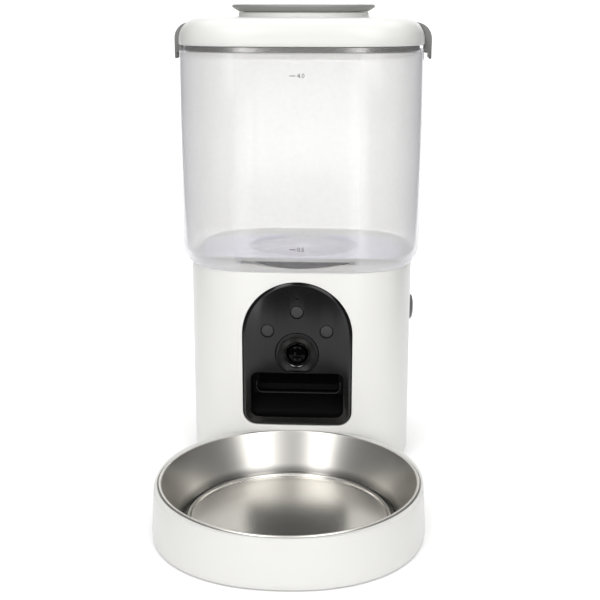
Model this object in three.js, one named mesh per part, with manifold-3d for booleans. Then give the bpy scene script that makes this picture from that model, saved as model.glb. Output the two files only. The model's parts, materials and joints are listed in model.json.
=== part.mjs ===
// Automatic pet feeder with a camera: millimetres, +Z up, ground at z = 0.
// Front (bowl side) faces -Y. The body axis stands at x = 0, y = AXIS_Y so that
// the origin is the bottom centre of the whole feeder.
import * as THREE from 'three';
import Module from 'manifold-3d';
import { mergeVertices } from 'three/addons/utils/BufferGeometryUtils.js';

// ---- driving dimensions -------------------------------------------------
const AXIS_Y = 85.6;            // body axis in Y
const N_SEC = 3.45;             // exponent of the rounded-square section
const BODY_A = 84.0;            // body half width and half depth
const BODY_TOP = 155.1;
const WALL = 2.5;
const HOP_BOT = 155.4, HOP_TOP = 312.7;
const HOP_A_LO = 90.4, HOP_A_HI = 89.7, HOP_R = 19.0;
const HOP_HOLE_R = 42.4;
const LID_A = 89.9, LID_Z0 = 313.0, LID_Z1 = 331.8, LID_R = 15.5;
const NECK_R = 48.7, NECK_IN = 45.0, NECK_TOP = 335.4;
const CAP_R = 53.4, CAP_Z0 = 335.7, CAP_Z1 = 341.0;
const LATCH_W = 34, LATCH_P = [84.6, 326.1], LATCH_B = 2.25;   // latch width, hinge axis (x, z), barrel radius
const PANEL_HW = 40.1, PANEL_Z0 = 38.6, PANEL_Z1 = 148.7;
const CAM_Z = 93.1, BEZEL_R = 15.4;
const IR = [['top', 0, 125.3], ['left', -21.5, 111.0], ['right', 21.5, 111.0]];
const CHUTE_HW = 34.0, CHUTE_Z0 = 44.9, CHUTE_Z1 = 79.0;
const BTN_Z = 109.0, BTN_R = 10.0;
const BOWL_Y = -170.4, BOWL_R = 87.5, TRAY_TOP = 34.0, TRAY_A = 91.3, N_TRAY = 2.2;
const POCKET_R = 42.0;
const GEAR_M = 1.0, GEAR_T = 24, PINION_T = 12, GEAR_C = GEAR_M * (GEAR_T + PINION_T) / 2;
const SEG = 40;                 // sides of the big sections

const wasm = await Module();
wasm.setup();

// ---- solids -------------------------------------------------------------
function clean(geo) {
  let g = geo.index ? geo : geo.clone();
  g = g.clone();
  for (const k of Object.keys(g.attributes)) if (k !== 'position') g.deleteAttribute(k);
  g = mergeVertices(g, 1e-4);
  const idx = g.index.array, p = g.attributes.position.array, out = [];
  for (let i = 0; i < idx.length; i += 3) {
    const [a, b, c] = [idx[i], idx[i + 1], idx[i + 2]];
    if (a !== b && b !== c && a !== c) out.push(a, b, c);
  }
  let vol = 0;
  for (let i = 0; i < out.length; i += 3) {
    const [a, b, c] = [out[i] * 3, out[i + 1] * 3, out[i + 2] * 3];
    vol += p[a] * (p[b + 1] * p[c + 2] - p[b + 2] * p[c + 1]) - p[a + 1] * (p[b] * p[c + 2] - p[b + 2] * p[c]) + p[a + 2] * (p[b] * p[c + 1] - p[b + 1] * p[c]);
  }
  if (vol < 0) for (let i = 0; i < out.length; i += 3) [out[i + 1], out[i + 2]] = [out[i + 2], out[i + 1]];
  return { p, out };
}
function solid(geo) {
  const { p, out } = clean(geo);
  return new wasm.Manifold(new wasm.Mesh({ numProp: 3, vertProperties: new Float32Array(p), triVerts: new Uint32Array(out) }));
}
function toGeo(m) {
  const k = m.getMesh();
  const g = new THREE.BufferGeometry();
  g.setAttribute('position', new THREE.BufferAttribute(new Float32Array(k.vertProperties), 3));
  g.setIndex(new THREE.BufferAttribute(new Uint32Array(k.triVerts), 1));
  g.computeVertexNormals();
  return g;
}
const add = (...s) => s.reduce((a, b) => a.add(b));
const cut = (a, ...s) => s.reduce((x, b) => x.subtract(b), a);

// turned profile [[r, z], ...] about Z; with n the circle becomes a rounded square
function turned(prof, { n = 2, seg = SEG, cx = 0, cy = 0, phase = 0 } = {}) {
  const g = new THREE.LatheGeometry(prof.map(([r, z]) => new THREE.Vector2(Math.max(r, 0), z)), seg);
  const a = g.attributes.position;
  for (let i = 0; i < a.count; i++) {
    let x = a.getX(i), z = a.getY(i), y = a.getZ(i);
    const r = Math.hypot(x, y);
    if (r > 1e-9) {
      const t = Math.atan2(y, x) + phase, c = Math.abs(Math.cos(t)), s = Math.abs(Math.sin(t));
      const k = n === 2 ? 1 : Math.pow(Math.pow(c, n) + Math.pow(s, n), -1 / n);
      x = r * k * Math.cos(t); y = r * k * Math.sin(t);
    } else { x = 0; y = 0; }
    a.setXYZ(i, x + cx, y + cy, z);
  }
  return solid(g);
}
const arc = (cx, cz, r, a0, a1, k) => Array.from({ length: k + 1 }, (_, i) => {
  const t = (a0 + (a1 - a0) * i / k) * Math.PI / 180;
  return [cx + r * Math.cos(t), cz + r * Math.sin(t)];
});
const cylZ = (x, y, r, z0, z1, seg = 16) => { const g = new THREE.CylinderGeometry(r, r, z1 - z0, seg); g.rotateX(Math.PI / 2); g.translate(x, y, (z0 + z1) / 2); return solid(g); };
const cylY = (x, z, r, y0, y1, seg = 24, r2 = r) => { const g = new THREE.CylinderGeometry(r2, r, y1 - y0, seg); g.translate(x, (y0 + y1) / 2, z); return solid(g); };
const cylX = (y, z, r, x0, x1, seg = 24) => { const g = new THREE.CylinderGeometry(r, r, x1 - x0, seg); g.rotateZ(Math.PI / 2); g.translate((x0 + x1) / 2, y, z); return solid(g); };
const box = (x0, x1, y0, y1, z0, z1) => { const g = new THREE.BoxGeometry(x1 - x0, y1 - y0, z1 - z0); g.translate((x0 + x1) / 2, (y0 + y1) / 2, (z0 + z1) / 2); return solid(g); };
// shape drawn in (x, z), extruded from y0 to y1
function slabY(shape, y0, y1, seg = 8) {
  const g = new THREE.ExtrudeGeometry(shape, { depth: y1 - y0, bevelEnabled: false, curveSegments: seg, steps: 1 });
  g.rotateX(Math.PI / 2); g.translate(0, y1, 0); return solid(g);
}
// shape drawn in (y, z), extruded from x0 to x1
function slabX(pts, x0, x1) {
  const s = new THREE.Shape(pts.map(([y, z]) => new THREE.Vector2(y, z)));
  const g = new THREE.ExtrudeGeometry(s, { depth: x1 - x0, bevelEnabled: false, steps: 1 });
  g.rotateZ(Math.PI / 2); g.rotateY(Math.PI / 2);
  g.translate(x0, 0, 0); return solid(g);
}
function rectShape(x0, x1, z0, z1, r) {
  const s = new THREE.Shape();
  s.moveTo(x0 + r, z0); s.lineTo(x1 - r, z0); s.absarc(x1 - r, z0 + r, r, -Math.PI / 2, 0);
  s.lineTo(x1, z1 - r); s.absarc(x1 - r, z1 - r, r, 0, Math.PI / 2);
  s.lineTo(x0 + r, z1); s.absarc(x0 + r, z1 - r, r, Math.PI / 2, Math.PI);
  s.lineTo(x0, z0 + r); s.absarc(x0 + r, z0 + r, r, Math.PI, 1.5 * Math.PI);
  return s;
}
function archShape(o) {
  const w = PANEL_HW + o, z0 = PANEL_Z0 - o, r = 9.8 + o, zc = PANEL_Z1 - PANEL_HW;
  const s = new THREE.Shape();
  s.moveTo(-w + r, z0); s.lineTo(w - r, z0); s.absarc(w - r, z0 + r, r, -Math.PI / 2, 0);
  s.lineTo(w, zc); s.absarc(0, zc, w, 0, Math.PI);
  s.lineTo(-w, z0 + r); s.absarc(-w + r, z0 + r, r, Math.PI, 1.5 * Math.PI);
  return s;
}
// circle with a flat at the bottom
function bezelShape(r, flat) {
  const a = Math.asin(-flat / r), s = new THREE.Shape();
  s.absarc(0, CAM_Z, r, a, Math.PI - a, false);
  s.closePath();
  return s;
}
const prism = (a, z0, z1, n = N_SEC) => turned([[0, z0], [a, z0], [a, z1], [0, z1]], { n });

// ---- scene graph ---------------------------------------------------------
const feeder = new THREE.Group();
const body = new THREE.Group();
body.position.set(0, AXIS_Y, 0);
feeder.add(body);
const MAT = {
  white: [0xf1f1ec, 0.35, 0], black: [0x101114, 0.12, 0], dark: [0x26272a, 0.4, 0], grey: [0x8f9092, 0.4, 0],
  clear: [0xe8e8f0, 0.08, 0], glass: [0x20242c, 0.03, 0], steel: [0xc4c6c8, 0.25, 1], rubber: [0x2a2a2a, 0.8, 0],
  ir: [0xb0b0b2, 0.45, 0], metal: [0x9a9ca0, 0.35, 1], green: [0x1e5a34, 0.5, 0], cell: [0x3a3d42, 0.4, 0.3],
  silicone: [0xc9cacb, 0.7, 0], cloth: [0xeeeeea, 0.9, 0], plas: [0xd8d8d4, 0.5, 0],
};
function piece(name, m, mat) {
  const [color, roughness, metalness] = MAT[mat];
  const mesh = new THREE.Mesh(toGeo(m), new THREE.MeshStandardMaterial({ color, roughness, metalness }));
  mesh.name = name;
  body.add(mesh);
}
function screw(name, x, y, zHead, zTip, rh = 3.0) { piece(name, add(cylZ(x, y, rh, zHead, zHead + 1.9, 10), cylZ(x, y, 1.45, zHead + 1.2, zTip, 8)), 'metal'); }

// ---- body shell ----------------------------------------------------------
const DECK_BOSS = [30, 150, 270].map(d => [49.5 * Math.cos(d * Math.PI / 180), 49.5 * Math.sin(d * Math.PI / 180)]);
const FLOOR_BOSS = [[76.6, -26], [-76.6, -26], [76.6, 26], [-76.6, 26]];
const inside = prism(BODY_A - 1.0, 0, BODY_TOP - 1);
let shell = turned([[0, BODY_TOP], [BODY_A - 1.2, BODY_TOP], [BODY_A - 0.35, BODY_TOP - 0.35], [BODY_A, BODY_TOP - 1.2], [BODY_A, 4.6], [BODY_A - 1.0, 3.4],
  [BODY_A - WALL, 3.4], [BODY_A - WALL, BODY_TOP - WALL], [0, BODY_TOP - WALL]], { n: N_SEC });
shell = add(shell, ...DECK_BOSS.map(([x, y]) => cylZ(x, y, 4.6, 144.6, 153.5)), ...FLOOR_BOSS.map(([x, y]) => cylZ(x, y, 5.4, 7.3, 22).intersect(inside)));
shell = cut(shell, cylZ(0, 0, 43.9, 150, 160, 32), slabY(archShape(0.35), -100, -60, 10), cylX(0, BTN_Z, BTN_R + 0.3, 70, 95, 20),
  slabY(rectShape(-7.3, 7.3, 47.7, 56.3, 1.5), 75, 95, 3), ...[-12, -6, 0, 6, 12].map(x => box(x - 1.2, x + 1.2, 76, 95, 68, 88)),
  ...DECK_BOSS.map(([x, y]) => cylZ(x, y, 1.5, 144, 151.4, 12)), ...FLOOR_BOSS.map(([x, y]) => cylZ(x, y, 1.5, 7, 19, 12)));
piece('base_shell', shell, 'white');

// ---- bottom plate, battery bay ---------------------------------------------
let floor = prism(BODY_A - WALL - 0.3, 3.0, 7.0);
floor = add(floor, box(-52, 52, 6, 72.5, 6, 41.5), cylZ(0, 2.5, 4, 6.5, 14, 16));
floor = cut(floor, box(-50, 50, 8, 70.5, 2, 39.5), box(-52.5, 52.5, -3, 73, 2, 5.2), cylZ(0, 2.5, 1.5, 2, 12.5, 12),
  ...FLOOR_BOSS.map(([x, y]) => add(cylZ(x, y, 3.2, 2, 5.3, 12), cylZ(x, y, 1.6, 2, 8, 12))));
piece('base_floor', floor, 'white');
const cover = cut(box(-52.2, 52.2, -2.7, 72.7, 3.0, 4.9), cylZ(0, 2.5, 3.3, 2, 4.0, 12), cylZ(0, 2.5, 1.7, 2, 6, 12),
  ...[-1, 0, 1].map(i => box(-14, 14, 60 + i * 3.2, 61.6 + i * 3.2, 2, 3.5)));
piece('battery_cover', cover, 'white');
piece('battery_cover_screw', add(cylZ(0, 2.5, 3.0, 3.05, 3.95, 12), cylZ(0, 2.5, 1.45, 3.5, 12, 12)), 'metal');
[-33, 0, 33].forEach((x, i) => piece(`battery_${i + 1}`, add(cylY(x, 22.6, 16.15, 8.6, 68.6, 20), cylY(x, 22.6, 4.8, 68, 70.1, 10)), 'cell'));
FLOOR_BOSS.forEach(([x, y], i) => screw(`floor_screw_${i + 1}`, x, y, 3.2, 17));
[[62, -50], [-62, -50], [62, 48], [-62, 48]].forEach(([x, y], i) => piece(`foot_${i + 1}`, turned([[0, 0], [7, 0], [8, 0.8], [8, 2.7], [0, 2.7]], { cx: x, cy: y, seg: 16 }), 'rubber'));

// ---- front panel -----------------------------------------------------------
const ring = cut(prism(BODY_A + 0.3, 20, 154), prism(BODY_A - WALL + 0.1, 19, 155));
let panel = slabY(archShape(0), -100, -60, 10).intersect(ring);
panel = cut(panel, slabY(bezelShape(BEZEL_R + 0.2, 12.9), -100, -60, 32), slabY(rectShape(-CHUTE_HW - 0.2, CHUTE_HW + 0.2, CHUTE_Z0 - 0.2, CHUTE_Z1 + 0.2, 6), -100, -60, 6),
  cylY(0, 135.4, 0.7, -100, -60, 10), ...IR.map(([, x, z]) => cylY(x, z, 4.6, -100, -60, 16)));
piece('front_panel', panel, 'black');
IR.forEach(([n, x, z]) => piece(`ir_window_${n}`, add(cylY(x, z, 4.2, -83.8, -81.2, 16), cylY(x, z, 3.6, -84.1, -83.7, 16)), 'ir'));
const bez = cut(slabY(bezelShape(BEZEL_R, 12.7), -84.5, -79.6, 32), cylY(0, CAM_Z, 13.6, -84.6, -82.0, 36, 9.6), cylY(0, CAM_Z, 9.3, -90, -70, 28));
piece('camera_bezel', bez, 'black');
piece('lens_barrel', cut(cylY(0, CAM_Z, 9.0, -82.4, -68.3, 28), cylY(0, CAM_Z, 7.9, -90, -78.6, 28), cylY(0, CAM_Z, 4.0, -79, -66, 16)), 'dark');
{
  const R = 8.6, k = 7.6, zc = Math.sqrt(R * R - k * k);
  const prof = [[0, 0], [k, 0], [k, 1.0], ...arc(0, 1.0 - zc, R, Math.asin(zc / R) * 180 / Math.PI, 90, 4)];
  const g = new THREE.LatheGeometry(prof.map(([r, z]) => new THREE.Vector2(Math.abs(r) < 1e-6 ? 0 : r, z)), 20);
  g.rotateX(Math.PI);            // dome points to -Y
  g.translate(0, -78.9, CAM_Z);
  piece('camera_lens', solid(g), 'glass');
}

piece('camera_board', add(box(-14, 14, -67.9, -66.4, 82.5, 107), box(-5, 5, -66.6, -63.6, CAM_Z - 3, CAM_Z + 5), box(-12, -7, -66.6, -64.8, CAM_Z + 6, CAM_Z + 12)), 'green');

// ---- outlet chute ------------------------------------------------------------
// side profile (y, z): mouth frame behind the panel, sloping duct, ramp below the lip
const chOut = [[-79.4, 42.9], [-79.4, 80.0], [-67.4, 80.0], [-43, 108.4], [-43, 119.5], [-15, 119.5], [-15, 107.6], [-64, 56.6], [-64, 54.8], [-77.4, 44.2], [-77.4, 42.9]];
const chIn = [[-66.5, 59], [-66.5, 79], [-41, 107.4], [-41, 121], [-17, 121], [-17, 109]];
const rec = [[-90, 40.4], [-90, 79], [-66, 79], [-66, 57.4]];
let chute = add(slabX(chOut, -CHUTE_HW - 2, CHUTE_HW + 2).intersect(box(-60, 60, -90, -60, 30, 130)), slabX(chOut, -32.0, 32.0));
chute = cut(chute, slabX(chIn, -30.0, 30.0), slabX(chIn, -32.2, 32.2).intersect(box(-60, 60, -90, -62, 30, 130)), slabX(rec, -CHUTE_HW, CHUTE_HW));
piece('chute', chute, 'dark');

// ---- rotor housing -------------------------------------------------------------
let deck = turned([[0, 119.8], [POCKET_R + 2, 119.8], [POCKET_R + 2, 142.0], [55, 142.0], [55, 144.3], [POCKET_R + 1.2, 144.3], [POCKET_R + 1.2, 155.0], [POCKET_R, 155.0], [POCKET_R, 122.0], [0, 122.0]], { seg: 32 });
deck = cut(deck, cylZ(0, 0, 4.1, 110, 130), box(-24, 24, -40, -17.5, 110, 123).intersect(cylZ(0, 0, 41, 100, 130, 48)), ...DECK_BOSS.map(([x, y]) => cylZ(x, y, 1.7, 140, 146, 12)));
piece('feed_deck', deck, 'dark');
DECK_BOSS.forEach(([x, y], i) => screw(`deck_screw_${i + 1}`, x, y, 139.8, 150.6));

// ---- drive ---------------------------------------------------------------------
function gear(teeth, z0, z1, hole, cx, cy, phase) {
  const rp = GEAR_M * teeth / 2, ro = rp + 0.9 * GEAR_M, rr = rp - 1.15 * GEAR_M, s = new THREE.Shape(), pts = [];
  const half = Math.PI / teeth / 2;
  for (let i = 0; i < teeth; i++) {
    const t = 2 * Math.PI * i / teeth + phase;
    for (const [r, f] of [[rr, -1.35], [rp, -0.88], [ro, -0.42], [ro, 0.42], [rp, 0.88], [rr, 1.35]]) pts.push([cx + r * Math.cos(t + f * half), cy + r * Math.sin(t + f * half)]);
  }
  pts.forEach(([x, y], i) => i ? s.lineTo(x, y) : s.moveTo(x, y));
  s.closePath();
  const g = new THREE.ExtrudeGeometry(s, { depth: z1 - z0, bevelEnabled: false, steps: 1 });
  g.translate(0, 0, z0);
  return cut(solid(g), cylZ(cx, cy, hole, z0 - 1, z1 + 1, 16));
}
piece('gear_plate', cut(add(box(-22, 22, -11, 34, 102, 104.5), ...[[19, -7.5], [-19, -7.5], [0, 31]].map(([x, y]) => cylZ(x, y, 3, 104, 119.5, 16))), cylZ(0, 0, 4.1, 100, 106), cylZ(0, GEAR_C, 8.0, 100, 106, 24)), 'dark');
piece('gear_motor', add(cylZ(0, GEAR_C, 12, 62, 101.7, 20), cylZ(0, GEAR_C, 4.0, 101, 103.5, 16)), 'metal');
piece('motor_pinion', add(gear(PINION_T, 107.5, 114.5, 1.0, 0, GEAR_C, Math.PI / 2 + Math.PI / PINION_T + Math.PI), cylZ(0, GEAR_C, 2.2, 103.8, 115.5, 14)), 'silicone');
piece('rotor_gear', gear(GEAR_T, 108, 114, 4.3, 0, 0, Math.PI / 2), 'silicone');
piece('rotor_shaft', cylZ(0, 0, 4.0, 100.5, 143, 20), 'steel');
let rotor = cut(turned([[0, 123], [9, 123], [9, 147], [6.5, 150], [0, 150]], { seg: 28 }), cylZ(0, 0, 4.3, 120, 143.4));
for (let i = 0; i < 5; i++) {
  const g = new THREE.BoxGeometry(33, 3, 24.5); g.translate(24.2, 0, 123 + 12.25); g.rotateZ((i * 72 + 18) * Math.PI / 180);
  rotor = add(rotor, solid(g));
}
piece('rotor', rotor, 'grey');
let agit = turned([[0, 150.3], [6.0, 150.3], [6.0, 156], [4, 159], [0, 159.5]], { seg: 24 });
for (let i = 0; i < 3; i++) {
  const g = new THREE.BoxGeometry(32, 2.6, 5); g.translate(19, 0, 153.4); g.rotateZ((i * 120 + 40) * Math.PI / 180);
  agit = add(agit, solid(g));
}
piece('agitator', agit, 'silicone');

// ---- electrics -------------------------------------------------------------------
piece('main_board', add(box(-70.5, -69, -28, 40, 50, 128), box(-69.2, -66, -6, 12, 84, 102), box(-69.2, -63, 20, 36, 56, 68), box(-69.2, -65.5, -22, -12, 110, 122)), 'green');
piece('speaker', turned([[0, 0], [18, 0], [18, 3], [12, 7], [9, 7], [9, 12], [0, 12]], { seg: 28 }).rotate([90, 0, 0]).translate([0, 79.6, 78]), 'dark');
piece('power_inlet', cut(slabY(rectShape(-7, 7, 48, 56, 1.3), 71, 84.2, 3), slabY(rectShape(-4.6, 4.6, 50.3, 53.7, 1.65), 75, 90, 4)), 'dark');

// ---- side button -------------------------------------------------------------------
{
  const dome = [[0, 78.5], [11.8, 78.5], [11.8, 81.0], [BTN_R, 81.0], [BTN_R, 84.4], ...arc(0, 84.4 - (100 - 9) / 6, (100 + 9) / 6, 56.6, 90, 3)].map(([r, z]) => [Math.max(0, Math.abs(r) < 1e-6 ? 0 : r), z]);
  const g = new THREE.LatheGeometry(dome.map(([r, z]) => new THREE.Vector2(r, z)), 20);
  g.rotateZ(-Math.PI / 2); g.translate(0, 0, BTN_Z);
  piece('side_button', solid(g), 'dark');
  const gd = new THREE.LatheGeometry([[0, 68], [13.6, 68], [13.6, 81.1], [12.3, 81.1], [12.3, 70], [0, 70]].map(([r, z]) => new THREE.Vector2(r, z)), 20);
  gd.rotateZ(-Math.PI / 2); gd.translate(0, 0, BTN_Z);
  piece('button_guide', solid(gd), 'dark');
  class Coil extends THREE.Curve {
    getPoint(t, o = new THREE.Vector3()) { const a = t * 4 * 2 * Math.PI; return o.set(71.0 + 6.6 * t, 6 * Math.cos(a), BTN_Z + 6 * Math.sin(a)); }
  }
  const sec = new THREE.Shape(); sec.absarc(0, 0, 0.5, 0, 2 * Math.PI);
  piece('button_spring', solid(new THREE.ExtrudeGeometry(sec, { steps: 40, extrudePath: new Coil(), curveSegments: 3, bevelEnabled: false })), 'metal');
}

// ---- hopper --------------------------------------------------------------------------
const hc = [HOP_A_LO - HOP_R, 168.1];
let hop = turned([[0, HOP_BOT], ...arc(hc[0], hc[1], HOP_R, -42, 0, 4), [HOP_A_HI, HOP_TOP - 0.8], [HOP_A_HI - 0.5, HOP_TOP], [HOP_A_HI - 2.4, HOP_TOP], [HOP_A_HI - 2.8, HOP_TOP - 0.8],
  ...arc(hc[0], hc[1], HOP_R - 2.8, 0, -38.6, 3), [0, 158.0]], { n: N_SEC, seg: 40 });
hop = cut(hop, cylZ(0, 0, HOP_HOLE_R, 150, 160, 32));
piece('hopper', hop, 'clear');

// ---- lid --------------------------------------------------------------------------------
const la = LID_A - LID_R, lz = LID_Z1 - LID_R;
const lidOut = turned([[0, LID_Z0], [LID_A - 0.4, LID_Z0], [LID_A, LID_Z0 + 0.5], ...arc(la, lz, LID_R, 0, 90, 5), [0, LID_Z1]], { n: N_SEC, seg: 40 });
let lid = cut(lidOut, turned([[0, LID_Z0 - 1], [82.3, LID_Z0 - 1], [82.3, lz + 1], ...arc(la - 5, lz + 0.5, LID_R - 3, 8, 90, 3), [0, LID_Z1 - 2.5]], { n: N_SEC, seg: 40 }));
lid = add(lid, turned([[82.3, 304.5], [84.5, 304.5], [84.5, 314], [82.3, 314], [82.3, 304.5]], { n: N_SEC, seg: 40 }), turned([[40, LID_Z1 - 2], [NECK_R + 0.8, LID_Z1 - 2], [NECK_R + 0.8, LID_Z1 + 0.01], [NECK_R, LID_Z1 + 0.9], [NECK_R, NECK_TOP - 0.4], [NECK_R - 0.4, NECK_TOP], [40, NECK_TOP], [40, LID_Z1 - 2]], { seg: 40 }));
const pad = lidOut.intersect(add(box(77, 95, -19.5, 19.5, 313.2, 331), box(-95, -77, -19.5, 19.5, 313.2, 331)));
lid = add(lid, pad);
for (const s of [1, -1]) {
  lid = cut(lid, cylY(s * LATCH_P[0], LATCH_P[1], LATCH_B + 0.7, -17.4, 17.4, 20));
  for (const y of [-1, 1]) lid = add(lid, cylY(s * LATCH_P[0], LATCH_P[1], LATCH_B - 0.1, y * 11.7 - 1.5, y * 11.7 + 1.5, 14), box(s > 0 ? 80.5 : -LATCH_P[0], s > 0 ? LATCH_P[0] : -80.5, y * 11.7 - 1.5, y * 11.7 + 1.5, 324.4, 326.4));
  lid = cut(lid, cylY(s * LATCH_P[0], LATCH_P[1], 1.07, -14, 14, 12));
}
lid = cut(lid, cylZ(0, 0, NECK_IN, 320, 340, 32));
piece('lid', lid, 'white');
piece('lid_seal', turned([[84.8, 308.9], [86.5, 308.9], [86.5, 312.6], [84.8, 312.6], [84.8, 308.9]], { n: N_SEC, seg: 40 }), 'grey');

// ---- side latches ---------------------------------------------------------------------------
for (const [nm, s] of [['right', 1], ['left', -1]]) {
  const P = LATCH_P, sh = new THREE.Shape();
  // a crescent that follows the lid shoulder, with its hinge barrel at the top and a thin lip at the bottom
  const pts = [[90.3, 306.5], ...arc(la, lz, LID_R + 0.35, 0, 37, 6), ...arc(P[0], P[1], LATCH_B, 350, 95, 12), ...arc(83.4, 316.5, 11.85, 80, 0, 9), [95.25, 303], [94.9, 302.1], [94.3, 301.8], [93.75, 302.1], [93.6, 302.8], [93.6, 306.5]];
  pts.forEach(([x, z], i) => i ? sh.lineTo(x, z) : sh.moveTo(x, z));
  sh.closePath();
  let m = slabY(sh, -LATCH_W / 2, LATCH_W / 2);
  m = cut(m, cylY(P[0], P[1], 1.07, -16.3, 16.3, 12), ...[-1, 1].map(y => cylY(P[0], P[1], LATCH_B + 0.35, y * 11.7 - 1.9, y * 11.7 + 1.9, 16)));
  if (s < 0) m = m.mirror([1, 0, 0]);
  piece(`latch_${nm}`, m, 'grey');
  piece(`latch_pin_${nm}`, cylY(s * P[0], P[1], 1.0, -16, 16, 12), 'metal');
}

// ---- drying cup and its cap --------------------------------------------------------------------
let cup = turned([[0, 314], [43.6, 314], [44.6, 315], [44.6, 335.7], [46.6, 335.7], [46.6, 336.4], [42.8, 336.4], [42.8, 315.8], [0, 315.8]], { seg: 32 });
cup = cut(cup, ...[-20, -10, 0, 10, 20].map(x => box(x - 1.6, x + 1.6, -26, 26, 312, 317)));
piece('desiccant_cup', cup, 'silicone');
piece('desiccant_pack', turned([[0, 316.2], [30, 316.2], [38, 318.4], [39.5, 321], [38, 323.6], [30, 326], [0, 326.6]], { seg: 28 }), 'cloth');
let cap = turned([[0, 333.2], [40.4, 333.2], [40.4, 331.5], [42.4, 331.5], [42.4, 336.8], [47.0, 336.8], [47.0, CAP_Z0], [48.0, CAP_Z0], [52.9, 338.6], [CAP_R, 339.3], [CAP_R, 340.1], [52.6, CAP_Z1], [40, CAP_Z1], [38.4, 335.4], [0, 335.4]], { seg: 40 });
cap = add(cap, box(-38.9, 38.9, -4.5, 4.5, 334, 340.4));
piece('desiccant_cap', cap, 'grey');

// ---- bowl and its tray ------------------------------------------------------------------------------
let tray = turned([[0, 0.8], [TRAY_A - 0.9, 0.8], [TRAY_A, 1.8], [89.4, TRAY_TOP - 0.7], [88.7, TRAY_TOP], [0, TRAY_TOP]], { n: N_TRAY, seg: 40, cy: BOWL_Y });
tray = cut(tray, turned([[0, 3.4], [81.9, 3.4], [81.9, 25.4], [85.3, 32.8], [87.9, 32.8], [87.9, 40], [0, 40]], { seg: 40, cy: BOWL_Y }), prism(BODY_A + 0.5, -1, 60));
tray = add(tray, box(-30, 30, -98, -62, 0.8, 2.6));
const PADS = [[-58, -196], [58, -196], [0, -244]];
tray = cut(tray, ...PADS.map(([x, y]) => cylZ(x, y, 6.3, 0, 1.9, 20)));
piece('bowl_tray', tray, 'white');
PADS.forEach(([x, y], i) => piece(`tray_pad_${i + 1}`, cylZ(x, y, 6.0, 0, 1.6, 20), 'rubber'));
let bowl = turned([[0, 5.0], [68.6, 5.0], [72.7, 6.8], [84.9, 33.1], [BOWL_R, 33.1], [BOWL_R, 34.2], [86.8, 34.7], [85.0, 34.5], [72.0, 7.9], [68.3, 6.0], [0, 6.0]], { seg: 40, cy: BOWL_Y });
bowl = cut(bowl, prism(BODY_A + 0.4, -1, 60));       // the rim is trimmed flat where it meets the body
piece('steel_bowl', bowl, 'steel');

export default feeder;
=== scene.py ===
import bpy, bmesh, json, math
from mathutils import Vector, Matrix


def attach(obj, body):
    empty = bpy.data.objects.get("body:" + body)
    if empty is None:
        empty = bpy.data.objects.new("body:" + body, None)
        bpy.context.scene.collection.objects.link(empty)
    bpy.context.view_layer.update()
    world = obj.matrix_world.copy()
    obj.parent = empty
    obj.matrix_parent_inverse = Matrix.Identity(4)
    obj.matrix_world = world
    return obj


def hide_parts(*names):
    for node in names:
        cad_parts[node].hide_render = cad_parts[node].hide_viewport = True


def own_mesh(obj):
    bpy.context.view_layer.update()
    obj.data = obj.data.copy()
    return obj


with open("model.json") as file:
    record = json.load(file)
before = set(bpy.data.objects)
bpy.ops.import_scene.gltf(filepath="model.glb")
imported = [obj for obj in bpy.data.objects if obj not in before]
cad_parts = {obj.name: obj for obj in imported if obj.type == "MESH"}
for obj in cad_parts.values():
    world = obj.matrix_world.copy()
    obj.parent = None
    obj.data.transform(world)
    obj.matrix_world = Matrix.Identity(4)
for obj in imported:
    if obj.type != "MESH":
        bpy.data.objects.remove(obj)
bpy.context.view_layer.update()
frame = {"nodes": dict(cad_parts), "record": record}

MM = 0.001
AY = 85.6                     # body axis in y, millimetres
N_SEC = 3.45                  # exponent of the rounded-square section
BY = AY - 170.4               # bowl axis
C = bpy.context.scene.collection
rad = math.radians

# ------------------------------------------------------------------ mesh tools
def make(name, verts, faces, recalc=True):
    me = bpy.data.meshes.new(name)
    me.from_pydata([(x * MM, y * MM, z * MM) for x, y, z in verts], [], faces)
    me.validate()
    if recalc:
        bm = bmesh.new(); bm.from_mesh(me)
        bmesh.ops.remove_doubles(bm, verts=bm.verts, dist=1e-7)
        bmesh.ops.recalc_face_normals(bm, faces=bm.faces)
        bm.to_mesh(me); bm.free()
    o = bpy.data.objects.new(name, me)
    C.objects.link(o)
    return o

def se(t, n):
    return (abs(math.cos(t)) ** n + abs(math.sin(t)) ** n) ** (-1 / n)

def ease(pts, r=None, k=5):
    """rounds the corners of a profile; a point may carry its own radius as a third value"""
    out = [tuple(pts[0][:2])]
    for i in range(1, len(pts) - 1):
        p = Vector(pts[i][:2]); a = Vector(pts[i - 1][:2]) - p; b = Vector(pts[i + 1][:2]) - p
        rr = pts[i][2] if len(pts[i]) > 2 else r
        if not rr or a.length < 1e-6 or b.length < 1e-6:
            out.append(tuple(p)); continue
        ang = a.angle(b)
        if ang > rad(174):
            out.append(tuple(p)); continue
        t = min(rr / math.tan(ang / 2), a.length * 0.49, b.length * 0.49)
        q0, q1 = p + a.normalized() * t, p + b.normalized() * t
        w = math.sin(ang / 2)
        for j in range(k + 1):
            u = j / k
            n0, n1, n2 = (1 - u) ** 2, 2 * u * (1 - u) * w, u * u
            q = (q0 * n0 + p * n1 + q1 * n2) / (n0 + n1 + n2)
            out.append((q.x, q.y))
    out.append(tuple(pts[-1][:2]))
    return out

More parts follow.
